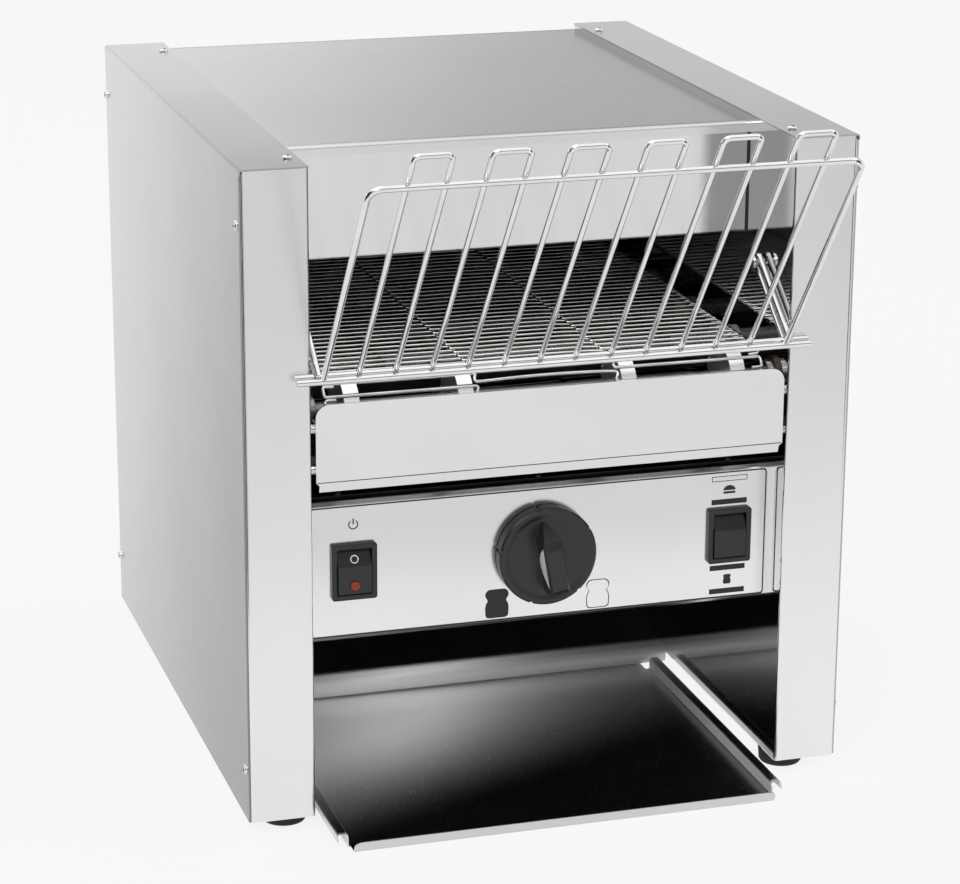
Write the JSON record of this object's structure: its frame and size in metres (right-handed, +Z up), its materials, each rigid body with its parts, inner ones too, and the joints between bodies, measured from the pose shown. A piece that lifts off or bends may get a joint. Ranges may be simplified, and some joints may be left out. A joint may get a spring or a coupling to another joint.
{
  "type": "conveyor toaster",
  "caption": "Countertop conveyor toaster: steel housing with side towers, wire belt, hinged wire loading rack, control panel, curved chute and slide-out toast tray.",
  "frame": {"origin": "centre of the footprint at the floor, midway between the rack's tip and the cable gland", "axes": "+Z up, front with the controls and the loading rack towards -Y, +X to the right seen from the front"},
  "size_m": [0.3724, 0.5386, 0.4278],
  "materials": {
    "satin_steel": "satin brushed",
    "bright_steel": "bright rolled",
    "dark_steel": "heat-dulled",
    "panel_overlay": "satin overlay with a black line border",
    "chrome_wire": "polished",
    "belt_wire": "drawn wire, heat-dulled",
    "reflector": "bright, heat-stained",
    "quartz": "clear, satin",
    "ceramic": "glazed ceramic",
    "brass": "turned",
    "zinc_screw": "zinc plated",
    "shaft_steel": "turned",
    "chain_steel": "oiled",
    "black_plastic": "fine matte",
    "switch_plastic": "semi-gloss",
    "white_mark": "satin",
    "red_lens": "translucent",
    "motor_case": "satin",
    "fan_plastic": "moulded",
    "terminal_white": "moulded",
    "foot_rubber": "matte"
  },
  "bodies": {
    "housing": {"left_tower_frame": "satin_steel", "right_tower_frame": "satin_steel", "left_outer_cover": "satin_steel", "right_outer_cover": "satin_steel", "top_cover": "satin_steel", "brow_panel": "bright_steel", "rear_panel": "satin_steel", "rear_deflector": "dark_steel", "control_panel": "satin_steel", "control_label": "panel_overlay", "control_box": "dark_steel", "front_guard": "satin_steel", "lower_heat_shield": "dark_steel", "upper_reflector": "reflector", "lower_reflector": "reflector", "upper_elements": "quartz", "lower_elements": "quartz", "element_holders": "ceramic", "belt_top_run": "belt_wire", "belt_return_run": "belt_wire", "belt_rails": "dark_steel", "cross_rods": "shaft_steel", "shaft_bushes": "brass", "gear_motor": "motor_case", "motor_bracket": "satin_steel", "motor_screws": "zinc_screw", "drive_chain": "chain_steel", "fan_frame": "fan_plastic", "terminal_block": "terminal_white", "speed_control": "black_plastic", "power_switch": "switch_plastic", "selector_switch": "switch_plastic", "discharge_chute": "satin_steel", "rack_pins": "zinc_screw", "feet": "foot_rubber", "foot_screws": "zinc_screw", "cover_screws": "zinc_screw", "panel_screws": "zinc_screw", "guard_screws": "zinc_screw", "cable_gland": "black_plastic", "gland_nut": "black_plastic", "heat_cutout": "ceramic"},
    "loading_rack": {"rack_rail": "chrome_wire", "rack_hairpins": "chrome_wire", "rack_rods": "chrome_wire", "rack_arms": "chrome_wire"},
    "tray": {"toast_tray": "satin_steel"},
    "knob": {"speed_knob": "black_plastic", "knob_spindle": "shaft_steel", "knob_marker": "white_mark"},
    "power_key": {"power_rocker": "switch_plastic", "power_lamp": "red_lens"},
    "selector_key": {"selector_rocker": "switch_plastic"},
    "rear_drive": {"rear_shaft": "shaft_steel", "rear_wheels": "bright_steel", "shaft_sprocket": "chain_steel"},
    "front_roller": {"front_shaft": "shaft_steel", "front_wheels": "bright_steel"},
    "motor_output": {"motor_sprocket": "chain_steel"},
    "fan": {"fan_rotor": "fan_plastic"}
  },
  "joints": [
    {"name": "rack_hinge", "type": "hinge", "parent": "housing", "child": "loading_rack", "pos_m": [0, -0.10471, 0.314], "axis": [1, 0, 0], "range_deg": [-70, 0]},
    {"name": "tray_slide", "type": "slide", "parent": "housing", "child": "tray", "axis": [0, -1, 0], "range_m": [0, 0.24]},
    {"name": "speed_turn", "type": "hinge", "parent": "housing", "child": "knob", "pos_m": [0.001, -0.12931, 0.15275], "axis": [0, -1, 0], "range_deg": [-150, 130]},
    {"name": "power_tilt", "type": "hinge", "parent": "housing", "child": "power_key", "pos_m": [-0.1154, -0.12671, 0.15275], "axis": [1, 0, 0], "range_deg": [0, 16]},
    {"name": "selector_tilt", "type": "hinge", "parent": "housing", "child": "selector_key", "pos_m": [0.1175, -0.12671, 0.15275], "axis": [1, 0, 0], "range_deg": [0, 16]},
    {"name": "rear_shaft_spin", "type": "hinge", "parent": "housing", "child": "rear_drive", "pos_m": [0, 0.17249, 0.2502], "axis": [1, 0, 0], "continuous": true, "deforming": ["belt_return_run", "drive_chain"]},
    {"name": "front_shaft_spin", "type": "hinge", "parent": "housing", "child": "front_roller", "pos_m": [0, -0.12671, 0.2502], "axis": [1, 0, 0], "continuous": true},
    {"name": "motor_spin", "type": "hinge", "parent": "housing", "child": "motor_output", "pos_m": [0.175, 0.17249, 0.1622], "axis": [1, 0, 0], "continuous": true},
    {"name": "fan_spin", "type": "hinge", "parent": "housing", "child": "fan", "pos_m": [-0.1574, -0.03971, 0.15275], "axis": [1, 0, 0], "continuous": true}
  ],
  "couplings": [
    {"joint": "front_shaft_spin", "follows": "rear_shaft_spin", "ratio": 1},
    {"joint": "motor_spin", "follows": "rear_shaft_spin", "ratio": 1}
  ]
}
